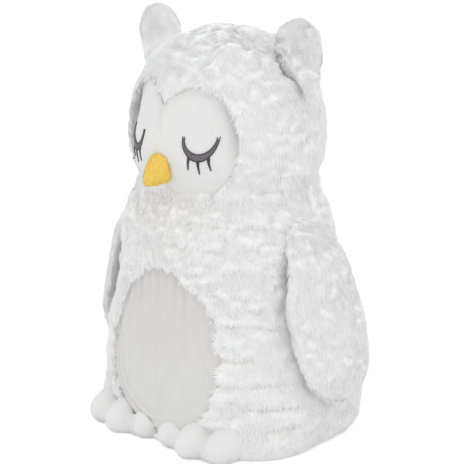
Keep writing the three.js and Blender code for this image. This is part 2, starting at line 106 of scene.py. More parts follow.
# %% Shader helpers
class Value:
    """A number that changes over a surface. Arithmetic on it adds Math nodes."""

    def __init__(self, paint, socket):
        self.paint, self.socket = paint, socket

    def maths(self, operation, *values):
        made = self.paint.node("Math", {"operation": operation}, dict(enumerate(values)))
        return Value(self.paint, made.outputs[0])

    def __add__(self, other):
        return self.maths("ADD", self, other)

    def __sub__(self, other):
        return self.maths("SUBTRACT", self, other)

    def __rsub__(self, other):
        return self.maths("SUBTRACT", other, self)

    def __mul__(self, other):
        return self.maths("MULTIPLY", self, other)

    __radd__, __rmul__ = __add__, __mul__

    def held(self, low, high):
        return self.maths("MAXIMUM", self.maths("MINIMUM", self, high), low)


class Paint:
    """One material in the making."""

    def __init__(self, name):
        self.material = bpy.data.materials.new(name)
        self.material.use_nodes = True
        self.tree = self.material.node_tree
        self.shader = self.tree.nodes["Principled BSDF"]

    def feed(self, socket, value):
        if isinstance(value, Value):
            value = value.socket
        if isinstance(value, bpy.types.NodeSocket):
            self.tree.links.new(value, socket)
        elif socket.type == "RGBA" and len(value) == 3:
            socket.default_value = (*value, 1)
        else:
            socket.default_value = value

    def node(self, kind, settings=None, sockets=None):
        made = self.tree.nodes.new("ShaderNode" + kind)
        for name, value in (settings or {}).items():
            setattr(made, name, value)
        for name, value in (sockets or {}).items():
            self.feed(made.inputs[name], value)
        return made

    def number(self, kind, settings=None, sockets=None, output=0):
        return Value(self, self.node(kind, settings, sockets).outputs[output])

    def finish(self, **sockets):
        """Feeds the shader: Base_Color=... stands for the socket Base Color."""
        for name, value in sockets.items():
            self.feed(self.shader.inputs[name.replace("_", " ")], value)
        return self.material

    def mixed(self, share, first, second):
        """A colour between two, by a share."""
        sockets = {0: share, 6: first, 7: second}
        return self.node("Mix", {"data_type": "RGBA"}, sockets).outputs[2]

    def clouds(self, size, detail, stretch=(1, 1, 1), offset=0):
        """Soft noise between 0 and 1 in the owl's frame, whose blobs are about one size across."""
        spots = self.node("TexCoord").outputs["Object"]
        sockets = {"Vector": spots, "Scale": stretch, "Location": (offset,) * 3}
        place = self.node("Mapping", None, sockets).outputs[0]
        sockets = {"Vector": place, "Scale": 1 / size, "Detail": detail}
        return self.number("TexNoise", None, sockets)

    def bumped(self, height, distance, strength):
        sockets = {"Height": height, "Distance": distance, "Strength": strength}
        return self.node("Bump", None, sockets).outputs[0]


# %% [markdown]
# The background is white because the camera sees the floor and the world as white, not because
# more light falls on the toy. The lamps are so weak that a colour renders about as it is written.

# %% Floor, world and lamps
FLOOR_WIDE, FLOOR_AT = 30, -0.0002  # metres
FLOOR_COLOUR, FLOOR_GLOW = (0.93, 0.93, 0.93), 0.36
DOME_COLOUR, DOME_STRENGTH = (0.99, 0.993, 1, 1), 0.9
LAMPS_AIM = Vector((0, 0, 0.15))

ground = Paint("ground")
rays = ground.node("LightPath")
seen = Value(ground, rays.outputs["Is Camera Ray"]) + rays.outputs["Is Glossy Ray"]
seen = (seen + rays.outputs["Is Transmission Ray"]).held(0, 1)
ground.finish(
    Base_Color=FLOOR_COLOUR, Roughness=0.9, Specular_IOR_Level=0.1,
    Emission_Color=(1, 1, 1), Emission_Strength=seen * FLOOR_GLOW,
)

bpy.ops.mesh.primitive_plane_add(size=FLOOR_WIDE, location=(0, 0, FLOOR_AT))
floor = bpy.context.object
floor.name = "floor"
floor.data.materials.append(ground.material)

world = bpy.data.worlds.new("studio")
bpy.context.scene.world = world
world.use_nodes = True
air = world.node_tree
rays = air.nodes.new("ShaderNodeLightPath")
choice = air.nodes.new("ShaderNodeMixShader")
air.links.new(rays.outputs["Is Camera Ray"], choice.inputs[0])
air.links.new(choice.outputs[0], air.nodes["World Output"].inputs[0])
for socket, colour, strength in ((1, DOME_COLOUR, DOME_STRENGTH), (2, (1, 1, 1, 1), 1)):
    sky = air.nodes.new("ShaderNodeBackground")
    sky.inputs["Color"].default_value = colour
    sky.inputs["Strength"].default_value = strength
    air.links.new(sky.outputs[0], choice.inputs[socket])


def soft_lamp(name, place, size, watts, warmth):
    """A square lamp aimed at the owl's middle."""
    bpy.ops.object.light_add(type="AREA", location=place)
    lamp = bpy.context.object
    lamp.name = name
    lamp.rotation_euler = (LAMPS_AIM - lamp.location).to_track_quat("-Z", "Y").to_euler()
    lamp.data.size = size
    lamp.data.energy = watts
    lamp.data.color = warmth


soft_lamp("key_lamp", (1.3, -1.0, 1.5), 2.2, 5, (1, 0.992, 0.98))
soft_lamp("fill_lamp", (-1.4, -1.2, 0.9), 1.4, 1, (0.97, 0.985, 1))

# %% [markdown]
# ## The fabrics
# Long fur is white at its tips and a little grey and warm where the pile parts, because less light
# gets in there. How deep a spot lies is kept on each mesh as an attribute named `pile`, from 0 in
# a parting to 1 at a tip, and the finish reads it. Fine hairs are drawn by a bump that is long
# down the pile and narrow across it.


# %% Finishes
HAIR_WIDE, HAIR_STRETCH = 0.8 * MM, (1, 1, 0.22)
NAP_WIDE, STROKE_WIDE, STROKE_STRETCH = 0.55 * MM, 9 * MM, (1, 1, 0.35)
TWIST_WIDE, TWIST_STRETCH = 0.35 * MM, (1, 0.3, 1)


def fur_finish(name, deep, tip):
    """Long pile: one colour deep in a parting, another at the tips, and fine hairs over both."""
    paint = Paint(name)
    pile = paint.number("Attribute", {"attribute_name": "pile"}, output="Fac")
    hairs = paint.clouds(HAIR_WIDE, 3, HAIR_STRETCH)
    dusk = paint.clouds(24 * MM, 2, offset=3)
    share = (pile + hairs * 0.12 + dusk * 0.1 - 0.06).held(0, 1)
    return paint.finish(
        Base_Color=paint.mixed(share, deep, tip),
        Roughness=0.95,
        Normal=paint.bumped(hairs, 0.3 * MM, 0.2),
        Specular_IOR_Level=0.1,
        Sheen_Weight=0.15,
        Sheen_Roughness=0.5,
    )


def plush_finish(name, colour, shade):
    """Short smooth plush: a fine nap with faint strokes where it was brushed."""
    paint = Paint(name)
    # A value kept on each mesh turns the plush towards its shade colour: painted shade on the belly
    # and the face, and darker lines on the feet and the base.
    seam_and_shade = paint.number("Attribute", {"attribute_name": "seam_and_shade"}, output="Fac")
    nap = paint.clouds(NAP_WIDE, 2)
    strokes = paint.clouds(STROKE_WIDE, 3, STROKE_STRETCH, 7)
    share = (seam_and_shade * 0.9 + strokes * 0.3 + nap * 0.14 - 0.18).held(0, 1)
    height = nap * 0.5 + strokes * 0.5
    return paint.finish(
        Base_Color=paint.mixed(share, colour, shade),
        Roughness=0.9,
        Normal=paint.bumped(height, 0.35 * MM, 0.5),
        Specular_IOR_Level=0.12,
        Sheen_Weight=0.15,
        Sheen_Roughness=0.4,
    )


white_fur = fur_finish("white fur", (0.86, 0.845, 0.825), (0.985, 0.985, 0.983))
white_plush = plush_finish("white plush", (0.84, 0.838, 0.833), (0.58, 0.565, 0.55))
yellow_plush = fur_finish("yellow plush", (0.98, 0.64, 0.07), (1, 0.82, 0.24))


def thread_finish(name, colour, shine):
    """Embroidery thread: twisted rayon with a soft shine, and painted sheen in its lighter shine
    colour.
    """
    paint = Paint(name)
    twist = paint.clouds(TWIST_WIDE, 1, TWIST_STRETCH)
    return paint.finish(
        Base_Color=paint.mixed(twist, colour, shine),
        Roughness=0.42,
        Normal=paint.bumped(twist, 0.1 * MM, 0.4),
        Specular_IOR_Level=0.5,
        Sheen_Weight=0.2,
    )


black_thread = thread_finish("black thread", (0.026, 0.025, 0.027), (0.055, 0.053, 0.056))
# Dark thread too: most of the satin fill's grey is this painted sheen in its shine colour.
satin_thread_painted_sheen = thread_finish("satin thread painted sheen", (0.06, 0.056, 0.06), (0.24, 0.23, 0.24))
print("finishes:", [m.name for m in bpy.data.materials])

# %% [markdown]
# ## Skins
# Every stuffed piece starts as a copy of its own panels. The copy is welded, wrapped in one even
# net of small squares (a voxel remesh) and smoothed, which takes the flat facets away and rounds
# the cut edges as stuffing does. The relief of the pile is then made by moving each point of the
# net along its normal.


# %% Mesh helpers
SAME_POINT = 0.01 * MM


def activate(piece):
    """Makes a piece the only selected one and the active one."""
    bpy.ops.object.select_all(action="DESELECT")
    bpy.context.view_layer.objects.active = piece
    piece.select_set(True)


def modify(piece, kind, **settings):
    """Adds a modifier to a piece, sets it up and applies it."""
    activate(piece)
    bpy.ops.object.modifier_add(type=kind)
    modifier = piece.modifiers[-1]
    for name, value in settings.items():
        setattr(modifier, name, value)
    bpy.ops.object.modifier_apply(modifier=modifier.name)


def welded_copy(name, nodes):
    """One new piece from copies of CAD nodes, with its loose triangles welded."""
    bpy.ops.object.select_all(action="DESELECT")
    for node in nodes:
        frame["nodes"][node].hide_set(False)
        frame["nodes"][node].select_set(True)
    bpy.context.view_layer.objects.active = frame["nodes"][nodes[0]]
    bpy.ops.object.duplicate()
    if len(nodes) > 1:
        bpy.ops.object.join()
    piece = bpy.context.object
    piece.name = name
    bpy.ops.object.parent_clear(type="CLEAR")
    for key in list(piece.keys()):
        del piece[key]
    piece.data.materials.clear()
    bpy.ops.object.mode_set(mode="EDIT")
    bpy.ops.mesh.select_all(action="SELECT")
    bpy.ops.mesh.remove_doubles(threshold=SAME_POINT)
    bpy.ops.object.mode_set(mode="OBJECT")
    return piece


def keep_outer_shell(piece):
    """Drops the pockets that a voxel remesh leaves between nested panels."""
    activate(piece)
    bpy.ops.object.mode_set(mode="EDIT")
    bpy.ops.mesh.select_all(action="DESELECT")
    bpy.ops.object.mode_set(mode="OBJECT")
    piece.data.vertices[int(points_of(piece)[:, 2].argmax())].select = True
    bpy.ops.object.mode_set(mode="EDIT")
    bpy.ops.mesh.select_mode(type="VERT")
    bpy.ops.mesh.select_linked()
    bpy.ops.mesh.select_all(action="INVERT")
    bpy.ops.mesh.delete(type="VERT")
    bpy.ops.object.mode_set(mode="OBJECT")


def skin_of(name, nodes, voxel, smoothing=8):
    """A smooth closed skin round some CAD nodes."""
    piece = welded_copy(name, nodes)
    modify(piece, "REMESH", mode="VOXEL", voxel_size=voxel)
    keep_outer_shell(piece)
    modify(piece, "SMOOTH", factor=0.5, iterations=smoothing)
    piece.data.polygons.foreach_set("use_smooth", [True] * len(piece.data.polygons))
    return piece


def unit(vectors):
    return vectors / np.maximum(np.linalg.norm(vectors, axis=-1), 1e-9)[..., None]


def listed(rows, name, width=3, kind=np.float32):
    """One property of a mesh's points or faces, as an array."""
    values = np.empty(len(rows) * width, kind)
    rows.foreach_get(name, values)
    return values.reshape(-1, width)


def points_of(piece):
    return listed(piece.data.vertices, "co").astype(float)


def normals_of(piece):
    return listed(piece.data.vertex_normals, "vector").astype(float)


def move_points(piece, points):
    piece.data.vertices.foreach_set("co", points.astype(np.float32).ravel())
    piece.data.update()


def keep_value(piece, name, values):
    """Stores one number for each point of a piece, for its finish to read."""
    kept = piece.data.attributes.new(name, "FLOAT", "POINT")
    kept.data.foreach_set("value", values.astype(np.float32))


def stepped(low, high, values):
    """0 up to low, 1 from high, and an easy slope between them."""
    share = np.clip((values - low) / (high - low), 0, 1)
    return share * share * (3 - 2 * share)


def wander(points, size, seed):
    """Smooth noise between -1 and 1, which changes over about one size."""
    shift = np.array([17.3, 5.1, 11.7]) * seed
    return np.array([noise.noise(spot) for spot in points / size + shift])


def cells(points, size, seed):
    """Rounded cells about one size across: 0 on their borders and 1 in their middles."""
    shift = np.array([7.9, 23.1, 3.3]) * seed
    places = (noise.voronoi(spot)[0] for spot in points / size + shift)
    gaps = np.array([apart[1] - apart[0] for apart in places])
    return stepped(0, 0.9, gaps)


def tree_of(piece):
    """A search tree of a piece's faces, which finds the nearest spot on them."""
    mesh = piece.data
    return BVHTree.FromPolygons(
        [vertex.co for vertex in mesh.vertices], [face.vertices[:] for face in mesh.polygons]
    )


def closeness(points, nodes, reach):
    """1 where points touch some CAD nodes, falling to 0 at reach from them."""
    share = np.zeros(len(points))
    for node in nodes:
        tree = tree_of(frame["nodes"][node])
        low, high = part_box(node)
        inside = np.all((points > np.array(low) - reach) & (points < np.array(high) + reach), 1)
        for i in np.flatnonzero(inside):
            apart = tree.find_nearest(points[i], reach)[3]
            if apart is not None:
                share[i] = max(share[i], 1 - apart / reach)
    return share


# %% [markdown]
# Stuffed pieces are also blown up a little with a cloth simulation: pressure from inside, no
# gravity, and no point may move further than a few millimetres. The swelling rounds them as firm
# stuffing does. Then the simulation is applied, so only its shape is left.


# %% Stuffing by simulation
PRESSURE, FRAMES = 4, 20


def stuff(piece, most, wanted=None):
    """Blows a piece up. wanted says how much of the movement each point keeps, from 0 to 1."""
    before = points_of(piece)
    activate(piece)
    bpy.ops.object.modifier_add(type="CLOTH")
    cloth = piece.modifiers[-1]
    cloth.settings.use_pressure = True
    cloth.settings.uniform_pressure_force = PRESSURE
    cloth.settings.effector_weights.gravity = 0
    cloth.point_cache.frame_start = 1
    cloth.point_cache.frame_end = FRAMES
    for number in range(1, FRAMES + 1):
        bpy.context.scene.frame_set(number)
    bpy.ops.object.modifier_apply(modifier=cloth.name)
    bpy.context.scene.frame_set(1)
    moved = points_of(piece) - before
    far = np.linalg.norm(moved, axis=1)
    moved *= np.minimum(1, most / np.maximum(far, 1e-9))[:, None]
    if wanted is not None:
        moved *= wanted(before)[:, None]
    move_points(piece, before + moved)
    print(piece.name, "swelled by up to", round(float(np.minimum(far, most).max()) / MM, 1), "mm")


# %% [markdown]
# ## Relief of the long fur
# The long pile is crushed into soft rolls that run round the body, each lapping over the one
# below it, with a thin parting between them that fades out here and there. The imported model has
# those ten rolls as plain steps. The same rule is solved here for every point of the skin, so that
# the fine relief sits on them. Smaller clumps lie on the rolls, deeper on the chest. Each relief
# gives two numbers: how far a point is raised, and its `pile`.

# %% Rolls and clumps
ROLLS, ROLL_TALL, ROLL_SWAY = 10, 18.8 * MM, 3.5 * MM
BODY_HALF_WIDE, BODY_HALF_DEEP = 103 * MM, 93 * MM
PARTING_WIDE, SEAM_FILL_WIDE = 1 * MM, 3.4 * MM
CHEST_FROM, CHEST_FULL = 95 * MM, 140 * MM
CHEEK_ROLL_TALL, CHEEK_TO, CHEEK_GONE = 17 * MM, 225 * MM, 255 * MM


def body_rolls(points):
    """How many rolls lie below each point. Whole numbers are partings."""
    turned = np.array([points[:, 0] / BODY_HALF_WIDE, points[:, 1] / BODY_HALF_DEEP])
    angle = np.arctan2(*(np.sign(turned) * np.abs(turned) ** 1.1)[::-1])
    roll = points[:, 2] / ROLL_TALL
    for _ in range(12):
        wave = np.sin(2 * angle + 2 * roll) + np.sin(3 * angle - 3 * roll) / 2
        sway = ROLL_SWAY * np.sin(math.pi * roll / ROLLS) * wave
        roll = (points[:, 2] - sway) / ROLL_TALL
    return roll


def lapped(roll, tall, open_share):
    """Height of rolls that lap over the next one below, and the line of the parting there."""
    share = roll - np.floor(roll)
    away = np.minimum(share, 1 - share) * tall
    arch = stepped(0, 0.16, share) * (1 - 0.7 * stepped(0.4, 1, share))
    return (arch - 0.6) * open_share, np.exp(-((away / PARTING_WIDE) ** 1.4)) * open_share


def tufts(points, size, seed):
    """Clumps of pile between -0.6 and 0.4, and finer lumps between -1 and 1."""
    puff = cells(points * [0.9, 0.9, 1.1], size, seed) - 0.6
    return puff, wander(points, 13 * MM, seed + 1)


def body_relief(points):
    """Rolls round the body, clumps on them, and deeper clumps on the chest."""
    roll = body_rolls(points)
    away = np.abs(roll - np.round(roll)) * ROLL_TALL
    filled = np.exp(-((away / SEAM_FILL_WIDE) ** 2))
    chest = stepped(CHEST_FROM, CHEST_FULL, points[:, 2] - 0.2 * points[:, 1])
    open_share = stepped(-0.3, 0.35, wander(points, 42 * MM, 1)) * (1 - 0.45 * chest)
    arch, line = lapped(roll + 0.07 * wander(points, 14 * MM, 2), ROLL_TALL, open_share)
    puff, lumps = tufts(points, 14 * MM, 3)
    height = 0.9 * arch + (1.4 + 1.6 * chest) * puff + 1.8 * lumps - 1.4 * line
    height += filled * (2.6 - 1.6 * open_share) + 1.2 * wander(points, 30 * MM, 8)
    return height * MM, 0.88 + 0.07 * arch + (0.08 + 0.1 * chest) * puff - 0.7 * line


def head_relief(points):
    """A few rolls on the cheeks. Above them the pile is swept in broad slanting strokes."""
    level = (points[:, 2] + 7 * MM * wander(points, 45 * MM, 11)) / CHEEK_ROLL_TALL
    cheek = 1 - stepped(CHEEK_TO, CHEEK_GONE, points[:, 2])
    open_share = cheek * stepped(-0.2, 0.5, wander(points, 30 * MM, 12))
    arch, line = lapped(level, CHEEK_ROLL_TALL, open_share)
    puff, lumps = tufts(points, 15 * MM, 13)
    slant = points @ [[1, 0, 0.5], [0, 1, 0], [-0.5, 0, 1]]
    stroke = wander(slant * [0.4, 0.8, 1.4], 9 * MM, 16)
    height = arch + 2.2 * puff + 1.5 * lumps + 0.5 * stroke - 1.2 * line
    height += 1.6 * wander(points, 26 * MM, 18)
    return height * MM, 0.85 + 0.1 * arch + 0.1 * puff + 0.05 * stroke - 0.5 * line


def limb_relief(points, normals, thin, seed):
    """Clumps on a flat pad that is thin along one axis. Its rim is raised and never sunk."""
    puff, lumps = tufts(points, 11 * MM, seed)
    broad = wander(points, 24 * MM, seed + 5)
    facing = stepped(0.3, 0.8, np.abs(normals[:, thin]))
    height = facing * (2.4 * puff + 1.3 * lumps + 1.6 * broad) + (1 - facing) * 1.8 * (puff + 0.6)
    return height * MM, 0.84 + 0.12 * puff + 0.05 * broad


def raise_pile(piece, height, pile):
    """Moves each point of a skin out along its normal, above the floor, and keeps its pile."""
    points = points_of(piece) + normals_of(piece) * height[:, None]
    points[:, 2] = np.maximum(points[:, 2], 0.4 * MM)
    move_points(piece, points)
    keep_value(piece, "pile", np.clip(pile, 0, 1))


# %% [markdown]
# ## Locks
# Fur reads as fur by its broken outline and the fine strokes across it. One lock is modelled, a thin
# three-sided spike, and copied thousands of times over each skin. Each copy lies along the nap
# and close to the skin, and the tips of neighbours lean together into clumps.

# %% One lock
def taken_down(model):
    """Finishes a small model in edit mode, and gives its points and triangles in its place."""
    bpy.ops.mesh.select_all(action="SELECT")
    bpy.ops.mesh.normals_make_consistent(inside=False)
    bpy.ops.mesh.quads_convert_to_tris()
    bpy.ops.object.mode_set(mode="OBJECT")
    points = points_of(model)
    faces = np.array([face.vertices[:] for face in model.data.polygons])
    bpy.data.objects.remove(model)
    return points, faces


bpy.ops.object.select_all(action="DESELECT")
bpy.ops.mesh.primitive_circle_add(vertices=3, radius=1, fill_type="NGON", location=(0, 0, 0))
lock_model = bpy.context.object
bpy.ops.object.mode_set(mode="EDIT")
bpy.ops.mesh.extrude_region_move(TRANSFORM_OT_translate={"value": (0, 0, 1)})
bpy.ops.mesh.merge(type="CENTER")
LOCK_POINTS, LOCK_FACES = taken_down(lock_model)
print("one lock:", len(LOCK_POINTS), "points and", len(LOCK_FACES), "triangles")


# %% Many copies in one piece
def many(name, places, faces, smooth):
    """One piece from many copies of a small model. places holds the points of each copy."""
    count, steps = places.shape[:2]
    faces = (faces[None] + steps * np.arange(count)[:, None, None]).reshape(-1, 3)
    mesh = bpy.data.meshes.new(name)
    mesh.vertices.add(count * steps)
    mesh.vertices.foreach_set("co", places.astype(np.float32).ravel())
    mesh.loops.add(faces.size)
    mesh.loops.foreach_set("vertex_index", faces.astype(np.int32).ravel())
    mesh.polygons.add(len(faces))
    mesh.polygons.foreach_set("loop_start", np.arange(0, faces.size, 3, dtype=np.int32))
    mesh.polygons.foreach_set("use_smooth", np.full(len(faces), smooth))
    mesh.update(calc_edges=True)
    piece = bpy.data.objects.new(name, mesh)
    bpy.context.scene.collection.objects.link(piece)
    return piece, faces


def map_copies(piece, count, faces, model, out):
    """A map for baking, with a small square for each copy. out runs from 0 to 1."""
    turned = np.arctan2(model[:, 0], model[:, 1]) / (2 * math.pi) + 0.5
    side = math.ceil(math.sqrt(count))
    copy = np.repeat(np.arange(count), len(out))
    across = copy % side + 0.15 + 0.7 * np.tile(turned, count)
    up = copy // side + 0.1 + 0.8 * np.tile(out, count)
    place = np.column_stack([across, up]) / side
    layer = piece.data.uv_layers.new(name="OFBake")
    layer.data.foreach_set("uv", place[faces.ravel()].astype(np.float32).ravel())


# %% [markdown]
# Each lock is a low roof with its ridge along the hair, shaded flat. A round or a tall one looks
# like a thorn, and the gaps between them turn the white fur grey. The tips are laid back on the
# skin, so hollows and humps are covered alike, and only a few stray locks stand out.


# %% Sowing locks over a skin
LEAN, CLUMP_SPACING = 0.35, 2.4 * MM
LAID_DOWN, LAID_UP = 2.5 * MM, 1.5 * MM
STRAY_SHARE, STRAY_RISE = 0.1, 1.4
ROOT_DEPTH, LOWEST_LOCK, ROOF_SHARE = 0.1 * MM, 0.3 * MM, 0.3


def roots_on(piece, count, dice, wanted):
    """Places, normals and pile values at random spots on the wanted faces."""
    mesh = piece.data
    mesh.calc_loop_triangles()
    corners = listed(mesh.loop_triangles, "vertices", kind=np.int32)
    points, normals = points_of(piece), normals_of(piece)
    pile = listed(mesh.attributes["pile"].data, "value", 1)[:, 0]
    first, second, third = (points[corners[:, i]] for i in range(3))
    area = np.linalg.norm(np.cross(second - first, third - first), axis=1) / 2
    area = area * wanted(points[corners].mean(1), normals[corners].mean(1))
    chosen = dice.choice(len(corners), count, p=area / area.sum())
    mix = dice.random((count, 2))
    over = mix.sum(1) > 1
    mix[over] = 1 - mix[over]
    mix = np.column_stack([1 - mix.sum(1), mix])[:, :, None]
    corners = corners[chosen]
    spots = (points[corners] * mix).sum(1)
    ways = unit((normals[corners] * mix).sum(1))
    return spots, ways, (pile[corners] * mix[:, :, 0]).sum(1)


def gathered(spots, ways, clump):
    """How far each tip leans towards the middle of its clump."""
    middles = spots[: max(8, int(len(spots) * (CLUMP_SPACING / clump) ** 2))]
    tree = kdtree.KDTree(len(middles))
    for i, middle in enumerate(middles):
        tree.insert(middle, i)
    tree.balance()
    nearest = middles[[tree.find(spot)[1] for spot in spots]]
    pull = (nearest - spots) * LEAN
    return pull - ways * (pull * ways).sum(1)[:, None] * 0.6


def laid(skin, tips, ways):
    """Moves tips on to the skin, as far as the pile gives."""
    tree = tree_of(skin)
    nearest = np.array([tree.find_nearest(tip)[0] for tip in tips])
    gap = ((nearest - tips) * ways).sum(1)
    return tips + ways * np.clip(gap, -LAID_DOWN, LAID_UP)[:, None]


def sow(name, skin, seed, nap, wanted, count, length, width, lift, clump=9 * MM, unrest=0.22):
    """A piece of locks on a skin. nap gives the way the pile lies, for places and normals, and
    wanted says which faces get locks."""
    dice = np.random.default_rng(seed)
    spots, ways, depth = roots_on(skin, count, dice, wanted)
    along = nap(spots, ways)
    along = unit(along - ways * (along * ways).sum(1)[:, None])
    turn = 0.55 * wander(spots, 26 * MM, seed) + unrest * dice.standard_normal(count)
    side = np.cross(ways, along)
    along = along * np.cos(turn)[:, None] + side * np.sin(turn)[:, None]
    side = np.cross(ways, along)
    long = length * dice.uniform(0.65, 1.2, count) * (0.75 + 0.4 * depth)
    wide = width * dice.uniform(0.7, 1.3, count)
    rise = lift * dice.uniform(0.4, 1.5, count)
    rise *= 1 + STRAY_RISE * (dice.random(count) < STRAY_SHARE)
    tips = spots + along * long[:, None] + gathered(spots, ways, clump)
    tips = laid(skin, tips, ways) + ways * rise[:, None]
    across, up, out = (LOCK_POINTS[:, i][None, :, None] for i in range(3))
    out = out / out.max()
    around = side[:, None] * across + ways[:, None] * (up * ROOF_SHARE)
    places = (spots - ways * ROOT_DEPTH)[:, None] * (1 - out) + tips[:, None] * out
    places += around * wide[:, None, None] * (1 - out)
    places[..., 2] = np.maximum(places[..., 2], LOWEST_LOCK)
    piece, faces = many(name, places, LOCK_FACES, False)
    shade = np.clip(depth[:, None] + 0.6 * out[0, :, 0][None] ** 0.8, 0, 1)
    keep_value(piece, "pile", shade.ravel())
    map_copies(piece, count, faces, LOCK_POINTS, out[0, :, 0])
    return piece


def always(*way):
    """A nap that lies one way all over."""
    return lambda spots, ways: np.tile(way, (len(spots), 1))


def dress(piece, body, finish, slot, *nodes):
    """Gives a piece its finish and its body, and hides the CAD nodes that it stands for."""
    piece.data.materials.append(finish)
    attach(piece, body)
    if nodes:
        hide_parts(*nodes)


def dress_bending(piece):
    """Gives fur across a limb's seam its finish, and bakes its place into its points."""
    piece.data.materials.append(white_fur)
    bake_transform(piece)


# %% [markdown]
# ## Body and head
# The body's two panels make one skin and the head's two another, because the pile hides the side
# seams. Each skin keeps its opening, so the fur's rolled edge shows round the belly and the face.

# %% Edges of the belly and the face
face_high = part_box("face_disc")[1]
belly_low, belly_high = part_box("belly_patch")
# Heights of the lobes' and the belly's widest parts and of the neck above the floor, in metres.
LOBES_AT, BELLY_AT, NECK_AT = 0.23, 0.062, 0.188
LOBE_MIDDLE, LOBE_HALF, CHIN_TALL = 0.0259, 0.0271, 0.049
# These turn a share of a lobe, the chin or the belly into a distance.
LOBE_SIZE, CHIN_SIZE, BELLY_SIZE = 0.031, 0.051, 0.057
PEAK_RISE, PEAK_HALF = 8 * MM, 8 * MM
PEAK_FOOT, PEAK_FULL, PEAK_OVER, PEAK_GONE = 222 * MM, 242 * MM, 246 * MM, 276 * MM


def peak_rise(points):
    """How far the peak of fur between the lobes is drawn up from the plain panels' one."""
    across = np.exp(-((points[:, 0] / PEAK_HALF) ** 2))
    up = stepped(PEAK_FOOT, PEAK_FULL, points[:, 2])
    up *= 1 - stepped(PEAK_OVER, PEAK_GONE, points[:, 2])
    return PEAK_RISE * across * up * (points[:, 1] < 0)


def draw_up_peak(piece):
    points = points_of(piece)
    points[:, 2] += peak_rise(points)
    move_points(piece, points)


def beyond_face(points):
    """How far points lie outside the face's outline as seen from the front, in metres."""
    plain = points.copy()
    for _ in range(3):
        plain[:, 2] = points[:, 2] - peak_rise(plain)
    across, up = np.abs(points[:, 0]), plain[:, 2] - LOBES_AT
    tall = face_high[2] - LOBES_AT
    lobe = np.hypot((across - LOBE_MIDDLE) / LOBE_HALF, up / tall) - 1
    chin = np.hypot(across / face_high[0], up / CHIN_TALL) - 1
    away = np.where(up > 0, lobe * LOBE_SIZE, chin * CHIN_SIZE)
    return np.where(points[:, 1] < 0, away, 1)


def beyond_belly(points):
    """The same for the belly's outline."""
    up = points[:, 2] - BELLY_AT
    tall = np.where(up > 0, belly_high[2] - BELLY_AT, BELLY_AT - belly_low[2])
    away = (np.hypot(points[:, 0] / belly_high[0], up / tall) - 1) * BELLY_SIZE
    return np.where(points[:, 1] < 0, away, 1)


# Each opening's outline, and its middle across and up.
FACE_OPENING, BELLY_OPENING = (beyond_face, (0, 0.225)), (beyond_belly, (0, 0.07))


def inwards(points, middle):
    """The way from each point to an opening's middle, seen from the front."""
    return unit(([middle[0], 0, middle[1]] - points) * [1, 0, 1])


def under_edge(points, beyond, middle, most):
    """Lets a plush panel run on under the fur, as its seam allowance does."""
    near = stepped(-4 * MM, -0.5 * MM, beyond(points))
    return points - inwards(points, middle) * (most * near)[:, None]


def over_edge(points, beyond, middle, most, seed):
    """Lets the fur's edge hang over an opening in tufts."""
    near = 1 - stepped(0, 9 * MM, np.abs(beyond(points)))
    tuft = np.maximum(cells(points, 12 * MM, seed) - 0.25, 0)
    return points + inwards(points, middle) * (most * tuft * near)[:, None]


# %% Body skin
FUR_NET, FUR_SMOOTHING = 1.5 * MM, 7
BODY_TRIM, SHOULDER_OUT, CORNER_OUT, HEM_TALL = 1.4 * MM, 2.4, 8, 34 * MM
BODY_SUNK, BODY_TUFTS = 3 * MM, 5 * MM

body_nodes = ["body_fur_front", "body_fur_back", "body_stuffing", "bead_pouch"]
body_skin = skin_of("body_fur", body_nodes, FUR_NET, FUR_SMOOTHING)
spots = points_of(body_skin)
pressing = ["wing_left_inner", "wing_right_inner", "foot_left_skin", "foot_right_skin"]
pressed = closeness(spots, pressing, 5 * MM)
open_here = 1 - stepped(-2 * MM, 1 * MM, beyond_belly(spots))
trim = BODY_TRIM * stepped(0, 16 * MM, NECK_AT - spots[:, 2]) * stepped(0, 24 * MM, spots[:, 2])
trim *= 1 - 0.7 * (1 - stepped(2 * MM, 14 * MM, beyond_belly(spots)))
height, pile = body_relief(spots)
height = (height * (1 - 0.8 * pressed) - trim) * (1 - open_here)
raise_pile(body_skin, height, pile)
meeting = 1 - stepped(0, 9 * MM, NECK_AT - spots[:, 2])
bearing = unit(spots[:, :2])
shoulder = stepped(130 * MM, 156 * MM, spots[:, 2]) * stepped(0, 14 * MM, NECK_AT - spots[:, 2])
shoulder *= stepped(0.45, 0.9, np.abs(bearing[:, 0]))
corner = stepped(0.2, 1, -2 * bearing[:, 1] * np.abs(bearing[:, 0]))
flare = (1 - stepped(0, HEM_TALL, spots[:, 2])) * stepped(8 * MM, 24 * MM, beyond_belly(spots))
spots = points_of(body_skin) + np.outer(meeting, [0, 0, BODY_SUNK])
spots[:, :2] += bearing * ((SHOULDER_OUT * shoulder + CORNER_OUT * corner * flare) * MM)[:, None]
move_points(body_skin, spots)
move_points(body_skin, over_edge(points_of(body_skin), *BELLY_OPENING, BODY_TUFTS, 9))
dress(body_skin, "owl", white_fur, "white_fur", *body_nodes)
print("body skin:", len(body_skin.data.polygons), "squares")

# %% Head skin
HEAD_TRIM, HEAD_SUNK, HEAD_TUFTS = 0.6 * MM, 3.5 * MM, 2.5 * MM

